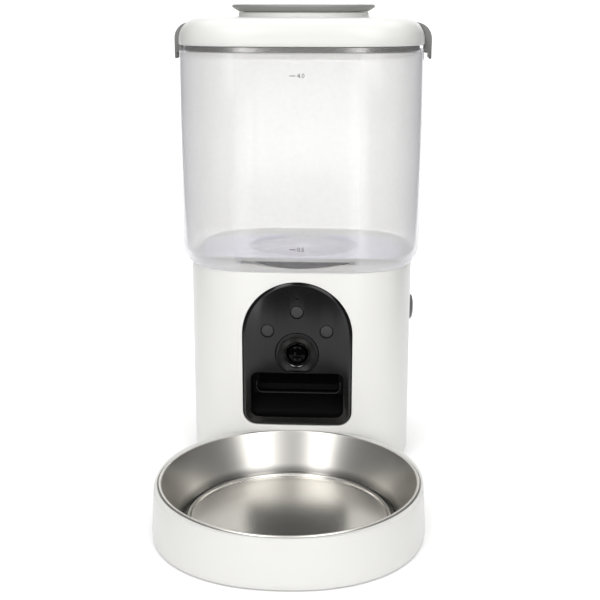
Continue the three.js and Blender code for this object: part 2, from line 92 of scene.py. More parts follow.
def lathe(name, prof, n=2.0, seg=160, cx=0.0, cy=AY, closed=False, axis='Z', at=(0, 0, 0)):
    verts, rings = [], []
    for p in prof:
        r, z = p[0], p[1]
        if r < 1e-6:
            rings.append([len(verts)]); verts.append((0.0, 0.0, z)); continue
        idx = []
        for i in range(seg):
            t = 2 * math.pi * i / seg
            k = se(t, n) if n != 2.0 else 1.0
            idx.append(len(verts)); verts.append((r * k * math.cos(t), r * k * math.sin(t), z))
        rings.append(idx)
    faces = []
    pairs = list(zip(rings[:-1], rings[1:])) + ([(rings[-1], rings[0])] if closed else [])
    for a, b in pairs:
        if len(a) == 1 and len(b) == 1: continue
        for i in range(seg):
            j = (i + 1) % seg
            if len(a) == 1: faces.append((a[0], b[j], b[i]))
            elif len(b) == 1: faces.append((a[i], a[j], b[0]))
            else: faces.append((a[i], a[j], b[j], b[i]))
    if axis == 'Z':
        verts = [(x + cx, y + cy, z) for x, y, z in verts]
    elif axis == '-Y':        # profile height runs towards -Y from the point 'at'
        verts = [(x + at[0], -z + at[1], y + at[2]) for x, y, z in verts]
    elif axis == 'X':
        verts = [(z + at[0], y + at[1], x + at[2]) for x, y, z in verts]
    return make(name, verts, faces)

def prism(name, pts, d0, d1, axis='Y'):
    """closed outline pts extruded from d0 to d1; axis Y: pts are (x, z); axis X: pts are (y, z); axis Z: pts are (x, y)"""
    n = len(pts)
    put = {'Y': lambda a, b, d: (a, d, b), 'X': lambda a, b, d: (d, a, b), 'Z': lambda a, b, d: (a, b, d)}[axis]
    verts = [put(a, b, d0) for a, b in pts] + [put(a, b, d1) for a, b in pts]
    faces = [tuple(range(n)), tuple(range(2 * n - 1, n - 1, -1))] + [(i, (i + 1) % n, (i + 1) % n + n, i + n) for i in range(n)]
    return make(name, verts, faces)

def box(name, x0, x1, y0, y1, z0, z1):
    return prism(name, [(x0, y0), (x1, y0), (x1, y1), (x0, y1)], z0, z1, 'Z')

def rrect(x0, x1, z0, z1, r, k=8):
    rr = r if isinstance(r, (list, tuple)) else (r, r, r, r)      # bottom left, bottom right, top right, top left
    out = []
    for (cx, cz, q, a0) in ((x1 - rr[1], z0 + rr[1], rr[1], -90), (x1 - rr[2], z1 - rr[2], rr[2], 0), (x0 + rr[3], z1 - rr[3], rr[3], 90), (x0 + rr[0], z0 + rr[0], rr[0], 180)):
        if q < 1e-6: out.append((cx, cz)); continue
        for i in range(k + 1):
            t = rad(a0 + 90 * i / k); out.append((cx + q * math.cos(t), cz + q * math.sin(t)))
    return out

def arch(o, k=40):
    w, z0, r, zc = 40.1 + o, 38.6 - o, 9.8 + o, 147.4 - 40.1
    out = []
    for i in range(9):
        t = rad(-90 + 90 * i / 8); out.append((w - r + r * math.cos(t), z0 + r + r * math.sin(t)))
    for i in range(k + 1):
        t = math.pi * i / k; out.append((w * math.cos(t), zc + w * math.sin(t)))
    for i in range(9):
        t = rad(180 + 90 * i / 8); out.append((-w + r + r * math.cos(t), z0 + r + r * math.sin(t)))
    return out

def flat_circle(r, flat, cz, k=64):
    a = math.asin(-flat / r)
    return [(r * math.cos(a + (math.pi - 2 * a) * i / k), cz + r * math.sin(a + (math.pi - 2 * a) * i / k)) for i in range(k + 1)]

def apply_mods(o):
    bpy.context.view_layer.update()
    dg = bpy.context.evaluated_depsgraph_get()
    me = bpy.data.meshes.new_from_object(o.evaluated_get(dg))
    o.modifiers.clear()
    old = o.data; o.data = me; me.name = o.name
    bpy.data.meshes.remove(old)

def boolean(o, cutters, op='DIFFERENCE'):
    for c in cutters:
        m = o.modifiers.new('b', 'BOOLEAN'); m.object = c; m.operation = op; m.solver = 'EXACT'
    apply_mods(o)
    for c in cutters:
        me = c.data; bpy.data.objects.remove(c); bpy.data.meshes.remove(me)
    return o

def bevel(o, w, seg=3, ang=40):
    m = o.modifiers.new('v', 'BEVEL'); m.width = w * MM; m.segments = seg; m.limit_method = 'ANGLE'; m.angle_limit = rad(ang)
    m.use_clamp_overlap = True; m.miter_outer = 'MITER_ARC'
    apply_mods(o)
    return o

def smooth(o, ang=32):
    o.data.shade_smooth(); o.data.set_sharp_from_angle(angle=rad(ang))
    return o

def join(name, objs):
    bm = bmesh.new()
    for o in objs:
        bm.from_mesh(o.data)
    me = bpy.data.meshes.new(name); bm.to_mesh(me); bm.free()
    for o in objs:
        m = o.data; bpy.data.objects.remove(o); bpy.data.meshes.remove(m)
    o = bpy.data.objects.new(name, me); C.objects.link(o)
    return o

# ------------------------------------------------------------------ materials
def nodes_of(name):
    m = bpy.data.materials.new(name); m.use_nodes = True
    nt = m.node_tree; nt.nodes.clear()
    out = nt.nodes.new('ShaderNodeOutputMaterial')
    b = nt.nodes.new('ShaderNodeBsdfPrincipled')
    nt.links.new(b.outputs[0], out.inputs[0])
    return m, nt, b

def N(nt, kind, **kw):
    n = nt.nodes.new(kind)
    for k, v in kw.items():
        if k in n.inputs: n.inputs[k].default_value = v
        else: setattr(n, k, v)
    return n

def coords(nt, scale=(1, 1, 1), loc=(0, 0, 0)):
    tc = nt.nodes.new('ShaderNodeTexCoord'); mp = N(nt, 'ShaderNodeMapping')
    mp.inputs['Scale'].default_value = scale; mp.inputs['Location'].default_value = loc
    nt.links.new(tc.outputs['Object'], mp.inputs['Vector'])
    return mp.outputs[0]

def noise(nt, vec, scale, detail=3.0, rough=0.5):
    n = N(nt, 'ShaderNodeTexNoise', Scale=scale, Detail=detail, Roughness=rough)
    nt.links.new(vec, n.inputs['Vector']); return n.outputs['Fac']

def mrange(nt, val, a, b, lo=0.3, hi=0.7):
    n = N(nt, 'ShaderNodeMapRange'); n.inputs['From Min'].default_value = lo; n.inputs['From Max'].default_value = hi
    n.inputs['To Min'].default_value = a; n.inputs['To Max'].default_value = b
    nt.links.new(val, n.inputs['Value']); return n.outputs[0]

def mix(nt, fac, a, b):
    n = nt.nodes.new('ShaderNodeMix'); n.data_type = 'RGBA'
    n.inputs['A'].default_value = (*a, 1); n.inputs['B'].default_value = (*b, 1)
    nt.links.new(fac, n.inputs['Factor']); return n.outputs['Result']

def moulded(name, col, rough=0.35, grain=700, bump=0.05, vary=0.03, spec=0.5, coat=0.0, sub=0.0):
    """moulded plastic: fine texture, slow tone drift, slight gloss changes"""
    m, nt, b = nodes_of(name)
    v = coords(nt)
    drift = mrange(nt, noise(nt, v, 12, 2), 0, 1, 0.15, 0.85)
    lo = tuple(c * (1 - vary) for c in col); hi = tuple(min(1, c * (1 + vary * 0.5)) for c in col)
    nt.links.new(mix(nt, drift, lo, hi), b.inputs['Base Color'])
    nt.links.new(mrange(nt, noise(nt, v, 30, 2, 0.5), rough - 0.02, rough + 0.02, 0.2, 0.8), b.inputs['Roughness'])
    if bump:
        bp = N(nt, 'ShaderNodeBump', Strength=bump, Distance=0.0002)
        nt.links.new(noise(nt, v, grain, 2), bp.inputs['Height'])
        nt.links.new(bp.outputs[0], b.inputs['Normal'])
    b.inputs['Specular IOR Level'].default_value = spec
    b.inputs['Coat Weight'].default_value = coat
    b.inputs['Coat Roughness'].default_value = 0.05
    return m

WHITE = moulded('white_abs', (0.740, 0.738, 0.716), 0.30, 1600, 0.02, 0.006)
# painted shade: the body shell takes a slightly darker copy of the white plastic, to darken the shell against the lid
SHELL_WHITE_PAINTED_SHADE = moulded('white_shell_painted_shade', (0.728, 0.726, 0.704), 0.30, 1600, 0.02, 0.006)
# painted light: the neck takes a lighter copy of the white plastic, lifting it out of the cap's shadow
NECK_WHITE_PAINTED_LIGHT = moulded('white_neck_painted_light', (0.85, 0.848, 0.824), 0.30, 1600, 0.02, 0.006)
# painted shade: the tray takes a darker copy of the white plastic, offsetting the light bounced onto its front
TRAY_WHITE_PAINTED_SHADE = moulded('white_tray_painted_shade', (0.660, 0.658, 0.637), 0.30, 1600, 0.02, 0.006)
BLACK = moulded('black_gloss_panel', (0.0030, 0.0030, 0.0034), 0.15, 300, 0.006, 0.2, 0.38)
DARK = moulded('dark_chute', (0.0020, 0.0020, 0.0023), 0.50, 1200, 0.06, 0.15, 0.06)
# painted highlight: the lip is a lighter black than the chute
LIP_PAINTED_HIGHLIGHT = moulded('chute_lip_painted_highlight', (0.016, 0.016, 0.017), 0.35, 1200, 0.03, 0.15, 0.4)
BEZEL = moulded('bezel_black', (0.0045, 0.0045, 0.0047), 0.30, 900, 0.04, 0.15, 0.25)
LENSRING = moulded('lens_ring', (0.001, 0.001, 0.0012), 0.12, 600, 0.0, 0.2, 1.0, 0.5)
GREY = moulded('grey_trim', (0.262, 0.263, 0.250), 0.34, 900, 0.05, 0.03)
LATCHG = moulded('latch_grey', (0.178, 0.179, 0.171), 0.36, 900, 0.05, 0.03)
SEAL = None
IRW = moulded('ir_window', (0.030, 0.030, 0.031), 0.42, 1500, 0.25, 0.25, 0.4)
RUBBER = moulded('rubber', (0.03, 0.03, 0.03), 0.75, 1500, 0.20, 0.1)
BUTTON = moulded('button_grey', (0.12, 0.12, 0.12), 0.36, 900, 0.05, 0.05)
GEARP = moulded('gear_acetal', (0.72, 0.72, 0.69), 0.38, 900, 0.04, 0.03)
SILI = moulded('silicone_grey', (0.42, 0.42, 0.42), 0.62, 900, 0.08, 0.05)
CELL = moulded('cell_sleeve', (0.05, 0.05, 0.055), 0.3, 500, 0.03, 0.1)

def clear_mat(name, rough=0.02, tint=(0.985, 0.985, 0.99)):
    m, nt, b = nodes_of(name)
    v = coords(nt)
    drift = mrange(nt, noise(nt, v, 9, 2), 0, 1)
    nt.links.new(mix(nt, drift, tuple(t * 0.985 for t in tint), tint), b.inputs['Base Color'])
    nt.links.new(mrange(nt, noise(nt, v, 40, 2), rough, rough + 0.02), b.inputs['Roughness'])
    b.inputs['Transmission Weight'].default_value = 1.0
    b.inputs['IOR'].default_value = 1.49
    return m

def mth(nt, op, a, b):
    """one arithmetic node; a and b are sockets or numbers"""
    n = N(nt, 'ShaderNodeMath', operation=op)
    for k, v in enumerate((a, b)):
        if isinstance(v, (int, float)): n.inputs[k].default_value = v
        else: nt.links.new(v, n.inputs[k])
    return n.outputs[0]

def ramp(nt, val, lo, hi, a=0.0, b=1.0):
    """a below lo, b above hi, smooth in between"""
    n = N(nt, 'ShaderNodeMapRange'); n.interpolation_type = 'SMOOTHSTEP'
    for k, v in (('From Min', lo), ('From Max', hi), ('To Min', a), ('To Max', b)): n.inputs[k].default_value = v
    nt.links.new(val, n.inputs['Value']); return n.outputs[0]

def tinted(nt, base, fac, col):
    n = nt.nodes.new('ShaderNodeMix'); n.data_type = 'RGBA'; n.inputs['B'].default_value = (*col, 1)
    nt.links.new(base, n.inputs['A']); nt.links.new(fac, n.inputs['Factor']); return n.outputs['Result']

def tank_mat(name, outer):
    """milky clear wall. The outer skin carries the milkiness, the rim and the lower corner are clearer; the inner skin
    carries the tinted floor, a lavender tint with painted shade over the feed opening
    """
    m, nt, b = nodes_of(name)
    v = coords(nt)
    sx = nt.nodes.new('ShaderNodeSeparateXYZ'); nt.links.new(v, sx.inputs[0])
    X, Y, Z = sx.outputs
    wall = mix(nt, mrange(nt, noise(nt, v, 9, 2), 0, 1), WALL_LO, WALL_HI)
    wide = mth(nt, 'ABSOLUTE', X, 0)
    front = mth(nt, 'MULTIPLY', ramp(nt, Y, (AY - 51.5) * MM, (AY - 49.5) * MM, 1.0, 0.0), ramp(nt, wide, 0.040, 0.043, 1.0, 0.0))
    if outer:
        low = mth(nt, 'MULTIPLY', ramp(nt, Z, 0.1554, 0.1562, 1.0, 0.0), ramp(nt, Y, (AY + 34) * MM, (AY + 52) * MM, 1.0, 0.0))
        col = tinted(nt, wall, low, POOL_2)
        edge = mth(nt, 'ADD', mth(nt, 'MULTIPLY', mth(nt, 'POWER', mth(nt, 'DIVIDE', wide, 0.036), 2.0), 0.0045), 0.1586)
        edge = mth(nt, 'MINIMUM', edge, 0.1620)
        line = mth(nt, 'MULTIPLY', ramp(nt, mth(nt, 'SUBTRACT', Z, edge), -0.0005, 0.0005, A_LOW, 0.0), ramp(nt, Y, (AY - 83.5) * MM, (AY - 82.0) * MM, 1.0, 0.0))
        lens = mth(nt, 'MAXIMUM', mth(nt, 'MAXIMUM', ramp(nt, wide, 0.034, 0.046, 0.0, A_LOW), line), A_RIM)   # clearer in the middle, over the painted shadow strip
        corner = mth(nt, 'MAXIMUM', mth(nt, 'MAXIMUM', ramp(nt, Z, 0.1628, 0.1648, 0.0, A_WALL), lens), ramp(nt, Y, (AY - 45) * MM, (AY - 15) * MM, 0.0, A_WALL))
        body = mth(nt, 'MINIMUM', corner, ramp(nt, Z, 0.3080, 0.3088, 1.0, A_RIM))
        body = mth(nt, 'ADD', body, mrange(nt, noise(nt, v, 260, 3), -0.01, 0.01))
        body = mth(nt, 'ADD', body, mth(nt, 'MULTIPLY', mth(nt, 'MULTIPLY', low, mth(nt, 'SUBTRACT', 1.0, front)), 0.25))
        lw = N(nt, 'ShaderNodeLayerWeight', Blend=0.5)       # a slanting path through the milky wall is longer
        slant = mth(nt, 'POWER', lw.outputs['Facing'], 2.0)
        body = mth(nt, 'ADD', body, mth(nt, 'MULTIPLY', mth(nt, 'MULTIPLY', slant, ramp(nt, Z, 0.1580, 0.1640, 0.02, A_SLANT)), ramp(nt, Z, 0.3080, 0.3088, 1.0, 0.2)))
        col = tinted(nt, col, slant, WALL_EDGE)
        b.inputs['Coat Weight'].default_value = 1.0; b.inputs['Coat Roughness'].default_value = 0.13
    else:
        e = mth(nt, 'ADD', mth(nt, 'POWER', mth(nt, 'DIVIDE', wide, 0.080), 2.8),
                mth(nt, 'POWER', mth(nt, 'ABSOLUTE', mth(nt, 'DIVIDE', mth(nt, 'SUBTRACT', Y, (AY - 14.5) * MM), 0.0565), 0), 2.8))
        # painted shade: an elliptical patch of the inner floor over the feed opening is darkened and tinted lavender
        floor_tint_and_shade = mth(nt, 'MULTIPLY', ramp(nt, e, 0.75, 1.2, 1.0, 0.0), ramp(nt, Y, (AY - 51.0) * MM, (AY - 49.6) * MM))
        floor_tint_and_shade = mth(nt, 'MULTIPLY', floor_tint_and_shade, ramp(nt, Z, 0.1590, 0.1604, 1.0, 0.0))
        col = tinted(nt, wall, floor_tint_and_shade, FLOOR_TINT_AND_SHADE)
        body = mth(nt, 'ADD', mth(nt, 'MULTIPLY', floor_tint_and_shade, A_POOL), mrange(nt, noise(nt, v, 260, 3), 0.05, 0.07))
    nt.links.new(col, b.inputs['Base Color'])
    nt.links.new(body, b.inputs['Alpha'])
    nt.links.new(mrange(nt, noise(nt, v, 40, 2), 0.235, 0.265, 0.1, 0.9), b.inputs['Roughness'])
    b.inputs['IOR'].default_value = 1.49
    return m
# the inner-floor tint is lavender with painted shade
WALL_LO, WALL_HI, WALL_EDGE, FLOOR_TINT_AND_SHADE, POOL_2 = (0.765, 0.761, 0.748), (0.767, 0.763, 0.750), (0.86, 0.85, 0.94), (0.635, 0.610, 0.905), (0.80, 0.795, 0.86)
A_WALL, A_RIM, A_POOL, A_SLANT, A_LOW = 0.46, 0.08, 0.96, 0.38, 0.56
CLEAR = tank_mat('clear_tank', True)
CLEAR_IN = tank_mat('clear_tank_inner', False)
LENS = moulded('lens_glass', (0.0006, 0.0006, 0.0009), 0.06, 300, 0.0, 0.3, 0.09)

def steel(name, centre, rough=0.24):
    """spun stainless: fine rings about the bowl axis, slow cloudiness"""
    m, nt, b = nodes_of(name)
    b.inputs['Metallic'].default_value = 1.0
    v = coords(nt, (1, 1, 1), (-centre[0] * MM, -centre[1] * MM, 0))
    sx = nt.nodes.new('ShaderNodeSeparateXYZ'); nt.links.new(v, sx.inputs[0])
    cx = nt.nodes.new('ShaderNodeCombineXYZ'); nt.links.new(sx.outputs[0], cx.inputs[0]); nt.links.new(sx.outputs[1], cx.inputs[1])
    ln = N(nt, 'ShaderNodeVectorMath', operation='LENGTH'); nt.links.new(cx.outputs[0], ln.inputs[0])
    cr = nt.nodes.new('ShaderNodeCombineXYZ'); nt.links.new(ln.outputs['Value'], cr.inputs[0]); nt.links.new(sx.outputs[2], cr.inputs[1])
    rings = noise(nt, cr.outputs[0], 2600, 3, 0.7)
    cloud = noise(nt, v, 22, 4)
    corner = mth(nt, 'MULTIPLY', ramp(nt, sx.outputs[2], 0.0080, 0.0138, 0.70, 0.0), ramp(nt, ln.outputs['Value'], 0.0682, 0.0692, 0.0, 1.0))   # painted shade: the base colour darkens in the lower corner of the wall, standing in for its dark reflections
    nt.links.new(tinted(nt, mix(nt, mrange(nt, cloud, 0, 1), (0.70, 0.68, 0.64), (0.73, 0.71, 0.67)), corner, (0.09, 0.085, 0.08)), b.inputs['Base Color'])
    low = ramp(nt, sx.outputs[2], 0.0076, 0.0078, -0.072, 0.0)
    nt.links.new(ramp(nt, sx.outputs[2], 0.0076, 0.0078, 0.94, 1.0), b.inputs['Metallic'])
    nt.links.new(mth(nt, 'ADD', mrange(nt, rings, rough - 0.025, rough + 0.025), low), b.inputs['Roughness'])
    bp = N(nt, 'ShaderNodeBump', Strength=0.03, Distance=0.0001)
    nt.links.new(rings, bp.inputs['Height']); nt.links.new(bp.outputs[0], b.inputs['Normal'])
    return m
STEEL = steel('spun_steel', (0, BY), 0.315)
SHAFT = steel('turned_steel', (0, AY), 0.3)

def metal(name, col=(0.55, 0.55, 0.56), rough=0.32, metallic=1.0):
    m, nt, b = nodes_of(name); b.inputs['Metallic'].default_value = metallic
    v = coords(nt)
    nt.links.new(mix(nt, mrange(nt, noise(nt, v, 90, 4), 0, 1), tuple(c * 0.85 for c in col), col), b.inputs['Base Color'])
    nt.links.new(mrange(nt, noise(nt, v, 300, 4), rough - 0.06, rough + 0.1), b.inputs['Roughness'])
    return m
METAL = metal('plated_steel')

SEAL = moulded('seal_satin', (0.355, 0.35, 0.34), 0.25, 400, 0.0, 0.03)
SEAL.node_tree.nodes['Principled BSDF'].inputs['Metallic'].default_value = 0.95
# painted light: the rotor housing and portion wheel are lightened nearly to white and tinted lilac, to cancel the shade
# inside the tank
HOUSING_PAINTED_LIGHT = moulded('rotor_housing_painted_light', (0.88, 0.865, 0.97), 0.5, 900, 0.04, 0.03)
WHEEL_PAINTED_LIGHT = moulded('portion_wheel_painted_light', (0.89, 0.875, 0.985), 0.45, 900, 0.04, 0.03)

def board(name):
    m, nt, b = nodes_of(name); v = coords(nt)
    br = N(nt, 'ShaderNodeTexVoronoi', Scale=260.0); nt.links.new(v, br.inputs['Vector'])
    nt.links.new(mix(nt, mrange(nt, br.outputs['Distance'], 0, 1, 0.1, 0.35), (0.32, 0.28, 0.10), (0.01, 0.09, 0.035)), b.inputs['Base Color'])
    nt.links.new(mrange(nt, noise(nt, v, 120), 0.35, 0.5), b.inputs['Roughness'])
    return m
BOARD = board('solder_mask')

def woven(name):
    m, nt, b = nodes_of(name); v = coords(nt)
    w1 = N(nt, 'ShaderNodeTexWave', Scale=260.0); w1.bands_direction = 'X'; nt.links.new(v, w1.inputs['Vector'])
    w2 = N(nt, 'ShaderNodeTexWave', Scale=260.0); w2.bands_direction = 'Y'; nt.links.new(v, w2.inputs['Vector'])
    mul = N(nt, 'ShaderNodeMath', operation='MULTIPLY'); nt.links.new(w1.outputs['Fac'], mul.inputs[0]); nt.links.new(w2.outputs['Fac'], mul.inputs[1])
    nt.links.new(mix(nt, mul.outputs[0], (0.72, 0.72, 0.70), (0.86, 0.86, 0.84)), b.inputs['Base Color'])
    b.inputs['Roughness'].default_value = 0.9
    bp = N(nt, 'ShaderNodeBump', Strength=0.4, Distance=0.0004); nt.links.new(mul.outputs[0], bp.inputs['Height']); nt.links.new(bp.outputs[0], b.inputs['Normal'])
    return m
SACHET = woven('sachet_weave')
INK = moulded('level_ink', (0.06, 0.06, 0.065), 0.5, 900, 0.05, 0.1)
LED = moulded('status_light', (0.55, 0.55, 0.55), 0.2, 900, 0.02, 0.05)

SLOT_MAT = {'white_plastic': WHITE, 'black_gloss': BLACK, 'dark_plastic': DARK, 'grey_plastic': GREY, 'clear_plastic': CLEAR, 'lens_glass': LENS,
            'grey_seal': SEAL, 'stainless': SHAFT, 'metal': METAL, 'gear_plastic': GEARP, 'silicone': SILI, 'sachet': SACHET, 'board': BOARD,
            'cell': CELL, 'rubber': RUBBER, 'ir_grey': IRW}
slot_of = {s['node']: s['material_slot'] for s in frame['record']['subparts']}
WHEEL_PARTS = []
for nm, ob in frame['nodes'].items():
    if nm in ('feed_deck', 'rotor', 'agitator'): WHEEL_PARTS.append(ob)
    ob.data.materials.clear(); ob.data.materials.append({'feed_deck': HOUSING_PAINTED_LIGHT, 'rotor': WHEEL_PAINTED_LIGHT, 'agitator': WHEEL_PAINTED_LIGHT}.get(nm, SLOT_MAT[slot_of[nm]]))
    ob.data.shade_smooth(); ob.data.set_sharp_from_angle(angle=rad(28))

body_of = {n: b for b, ns in frame['record']['behaviour']['bodies'].items() for n in ns}
def stand(o, node, mat, ang=32, extra=False):
    """o stands for the CAD node, rides with its body and takes its slot"""
    o.data.materials.clear(); o.data.materials.append(mat)
    smooth(o, ang)
    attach(o, body_of[node])
    if not extra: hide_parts(node)
    return o

# ------------------------------------------------------------------ body shell
A = 84.0
sh = lathe('body_shell', ease([(0, 155.1), (84.0, 155.1, 1.6)] + [(84.0, z) for z in (151, 142, 130, 120.5, 109, 97.5, 90, 79, 66, 58, 46, 36, 22, 10)] + [(84.0, 3.4, 1.4), (81.5, 3.4, 0.5), (81.5, 152.6, 0.6), (0, 152.6)]), N_SEC, 240)
boolean(sh, [lathe('c', [(0, 140), (43.6, 140), (43.6, 160), (0, 160)], 2, 96), prism('c', arch(0.35), AY - 110, AY - 60),
             lathe('c', [(0, 0), (10.35, 0), (10.35, 30), (0, 30)], 2, 64, axis='X', at=(70, AY, 109)),
             prism('c', rrect(-7.3, 7.3, 47.7, 56.3, 1.6), AY + 75, AY + 95)] + [prism('c', rrect(x - 1.1, x + 1.1, 68, 88, 1.05), AY + 76, AY + 95) for x in (-12, -6, 0, 6, 12)])
bevel(sh, 0.35, 2, 50)
stand(sh, 'base_shell', SHELL_WHITE_PAINTED_SHADE)

# painted shadow: a dark strip laid along the front of the deck, seen through the tank floor, standing in for the shade
# in the gap under the tank
PAINTED_SHADOW_STRIP = moulded('deck_painted_shadow', (0.014, 0.014, 0.024), 0.55, 1500, 0.1, 0.1, 0.3)
arc_pts = [(2.5 - 36 + 3 * i, AY - 73.2 + 21.5 * abs((-36 + 3 * i) / 36) ** 2.2) for i in range(25)] + [(36.5, AY - 50.6), (-31.5, AY - 50.6)]
ds = prism('deck_front_painted_shadow', arc_pts, 155.1, 155.34, 'Z')
stand(ds, 'base_shell', PAINTED_SHADOW_STRIP, extra=True)

# ------------------------------------------------------------------ front panel
def arch_loft(name, steps, k=72):
    """arched plate on the rounded-square wall; steps are (inset, wall radius) from the back edge to the front face"""
    verts, faces, cols = [], [], []
    us = [-math.cos(math.pi * i / k) for i in range(k + 1)]
    for ins, R in steps:
        w, z0, r, zc = 40.1 - ins, 38.6 + ins, 9.8 - ins, 147.4 - 40.1
        top, bot = [], []
        for u in us:
            x = w * u
            zt = zc + math.sqrt(max(0.0, w * w - x * x))
            q = max(0.0, abs(x) - (w - r))
            zb = z0 + r - math.sqrt(max(0.0, r * r - q * q))
            y = AY - (R ** N_SEC - abs(x) ** N_SEC) ** (1 / N_SEC)
            top.append(len(verts)); verts.append((x, y, zt))
            bot.append(len(verts)); verts.append((x, y, zb))
        cols.append((top, bot))
    loops = [t + b[::-1] for t, b in cols]
    for a, b in zip(loops[:-1], loops[1:]):
        n = len(a)
        for i in range(n):
            j = (i + 1) % n; faces.append((a[i], a[j], b[j], b[i]))
    for t, b in (cols[0], cols[-1]):
        for i in range(k):
            faces.append((b[i], b[i + 1], t[i + 1], t[i]))
    return make(name, verts, faces)
pn = arch_loft('front_glass_panel', [(0, 81.6), (0, 82.9), (0.12, 83.25), (0.45, 83.55), (1.35, 83.95), (1.65, 84.2), (1.95, 84.33), (2.3, 84.35)])
boolean(pn, [prism('c', flat_circle(16.15, 13.65, 93.9), AY - 100, AY - 60), prism('c', rrect(-34.2, 34.2, 44.7, 79.2, 5.5), AY - 100, AY - 60),
             lathe('c', [(0, 0), (0.75, 0), (0.75, 30), (0, 30)], 2, 24, axis='-Y', at=(0, AY - 70, 135.4))] +
        [lathe('c', [(0, 0), (4.95, 0), (4.95, 30), (0, 30)], 2, 48, axis='-Y', at=(x, AY - 70, z)) for x, z in ((0, 125.3), (-21.5, 111.0), (21.5, 111.0))])
bevel(pn, 0.28, 2, 55)
stand(pn, 'front_panel', BLACK)

for nm, x, z, yy in (('top', 0, 125.3, 0), ('left', -21.5, 111, 0.22), ('right', 21.5, 111, 0.22)):
    w = lathe('ir_disc_' + nm, ease([(0, 0), (4.45, 0), (4.45, 2.5, 0.35), (2.4, 2.75), (0, 2.8)]), 2, 64, axis='-Y', at=(x, AY - 81.25 + yy, z))
    stand(w, 'ir_window_' + nm, IRW)

CAM_Z = 92.5                    # lens axis height
bz = prism('bezel_ring', flat_circle(15.65, 13.15, 93.9, 90), AY - 84.45, AY - 79.6)
bevel(bz, 0.5, 3, 60)
boolean(bz, [lathe('c', ease([(0, -0.5), (9.5, -0.5), (9.5, 1.6), (9.7, 2.1, 0.3), (13.7, 3.55, 1.0), (14.3, 6.0), (0, 6.0)]), 2, 128, axis='-Y', at=(0, AY - 80.3, CAM_Z))])
bevel(bz, 0.12, 2, 50)
stand(bz, 'camera_bezel', BEZEL)
lb = lathe('lens_ring', ease([(4.0, 0), (9.0, 0), (9.0, 14.7, 0.05), (8.3, 14.0, 0.05), (8.25, 10.3), (6.4, 10.3), (6.2, 9.4), (5.2, 9.4), (5.0, 8.6), (4.0, 8.5)]), 2, 96, closed=True, axis='-Y', at=(0, AY - 68.3, CAM_Z))
stand(lb, 'lens_barrel', LENSRING)
core = lathe('lens_core', ease([(0, 0), (3.9, 0), (3.9, 1.0, 0.3), (2.6, 1.3), (1.4, 2.0), (0, 2.3)]), 2, 48, axis='-Y', at=(0, AY - 75.0, CAM_Z))
COREM = moulded('lens_core_coating', (0.002, 0.002, 0.004), 0.5, 200, 0.0, 0.3, 0.12)
stand(core, 'lens_barrel', COREM, extra=True)
R, k = 9.0, 8.1
zc = math.sqrt(R * R - k * k)
dome = [(0, 0), (k, 0), (k, 0.9)] + [(R * math.cos(t), 1.0 - zc + R * math.sin(t)) for t in [math.asin(zc / R) + (math.pi / 2 - math.asin(zc / R)) * i / 14 for i in range(1, 15)]]
dome[-1] = (0, dome[-1][1])
ln = lathe('lens_dome', dome, 2, 96, axis='-Y', at=(0, AY - 78.9, CAM_Z))
stand(ln, 'camera_lens', LENS, 50)

# ------------------------------------------------------------------ outlet
def loop_x(pts, w, name='c'):
    return prism(name, [(y + AY, z) for y, z in pts], -w, w, 'X')
ch_out = [(-79.4, 42.9), (-79.4, 80.0), (-67.4, 80.0), (-43, 108.4), (-43, 119.5), (-15, 119.5), (-15, 107.6), (-64, 56.6), (-64, 54.8), (-77.4, 44.2), (-77.4, 42.9)]
ch = loop_x(ch_out, 36.0, 'outlet_chute')
rec = loop_x([(-92, 38.98), (-92, 90), (-66.2, 90), (-66.2, 57.26)], 60)
boolean(rec, [prism('c', rrect(-34, 34, 44.9, 79, 5.3), AY - 95, AY - 60)], 'INTERSECT')
mouth = prism('c', rrect(-32.2, 32.2, 59, 79, (5, 5, 1, 1)), AY - 70, AY - 62)
duct = loop_x([(-66.5, 59), (-66.5, 79), (-41, 107.4), (-41, 121), (-17, 121), (-17, 109)], 30)
boolean(ch, [rec, mouth, duct])
bevel(ch, 0.45, 3, 38)
stand(ch, 'chute', DARK, 30)
# thin raised lip round the lower edge of the outlet mouth; its black is lighter than the chute's, a painted highlight
# line
path = lambda w, z0, r: [(-w, 66.5)] + [(-w + r - r * math.cos(rad(a)), z0 + r - r * math.sin(rad(a))) for a in range(0, 91, 15)] + [(w - r + r * math.sin(rad(a)), z0 + r - r * math.cos(rad(a))) for a in range(0, 91, 15)] + [(w, 66.5)]
lp = prism('chute_mouth_lip', path(31.9, 57.6, 5.0) + path(31.2, 58.3, 4.3)[::-1], AY - 67.0, AY - 66.0)
bevel(lp, 0.12, 2, 40)
stand(lp, 'chute', LIP_PAINTED_HIGHLIGHT, 30, extra=True)

# ------------------------------------------------------------------ side button
bt = lathe('side_push_button', ease([(0, 78.5), (11.8, 78.5, 0.4), (11.8, 81.0, 0.4), (10.0, 81.0), (10.0, 84.9, 0.7), (8.6, 86.3, 1.5), (4.5, 87.2, 3), (0, 87.3)]), 2, 72, axis='X', at=(0, AY, 109))
stand(bt, 'side_button', BUTTON)

